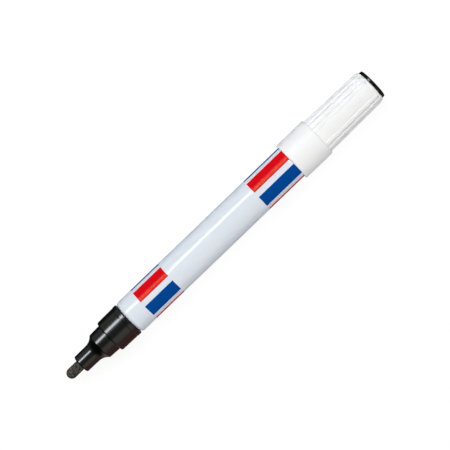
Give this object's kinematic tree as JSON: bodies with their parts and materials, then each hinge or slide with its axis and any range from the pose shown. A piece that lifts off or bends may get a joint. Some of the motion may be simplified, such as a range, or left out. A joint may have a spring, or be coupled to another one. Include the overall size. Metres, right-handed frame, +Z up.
{
  "type": "paint marker",
  "caption": "Valve-action paint marker on its side: round felt nib, black stepped nose, white striped can barrel with a mixing ball, and a ribbed white cap posted on the tail.",
  "frame": {"origin": "bottom centre of the marker's box as it lies on its side with the cap posted", "axes": "+X along the marker from the nib towards the cap, +Z up, +Y across to the left of +X"},
  "size_m": [0.1484, 0.0154, 0.0154],
  "materials": {
    "white_lacquer": "gloss white lacquer on drawn aluminium",
    "black_moulding": "semi-gloss moulded",
    "nib_felt": "pressed felt",
    "black_rubber": "matte",
    "seat_rubber": "matte",
    "valve_plastic": "natural moulded",
    "spring_steel": "drawn wire",
    "ball_steel": "polished",
    "white_cap": "satin moulded",
    "liner_plastic": "natural moulded",
    "black_plug": "semi-gloss moulded"
  },
  "bodies": {
    "barrel": {"barrel": "white_lacquer", "collar": "black_moulding", "nib_holder": "black_moulding", "mouth_gasket": "black_rubber", "valve_seat": "seat_rubber", "valve_housing": "valve_plastic", "valve_spring": "spring_steel"},
    "nib": {"nib": "nib_felt", "valve_plunger": "valve_plastic"},
    "ball": {"mixing_ball": "ball_steel"},
    "cap": {"cap_shell": "white_cap", "cap_liner": "liner_plastic", "cap_plug": "black_plug"}
  },
  "joints": [
    {"name": "nib_press", "type": "slide", "parent": "barrel", "child": "nib", "axis": [1, 0, 0], "range_m": [0, 0.0018], "stiffness_N_per_m": 800, "springref_m": -0.0015, "deforming": ["valve_spring"]},
    {"name": "ball_roll", "type": "slide", "parent": "barrel", "child": "ball", "axis": [1, 0, 0], "range_m": [-0.0366, 0.0366]},
    {"name": "cap_pull", "type": "slide", "parent": "barrel", "child": "cap", "axis": [1, 0, 0], "range_m": [0, 0.03]}
  ]
}
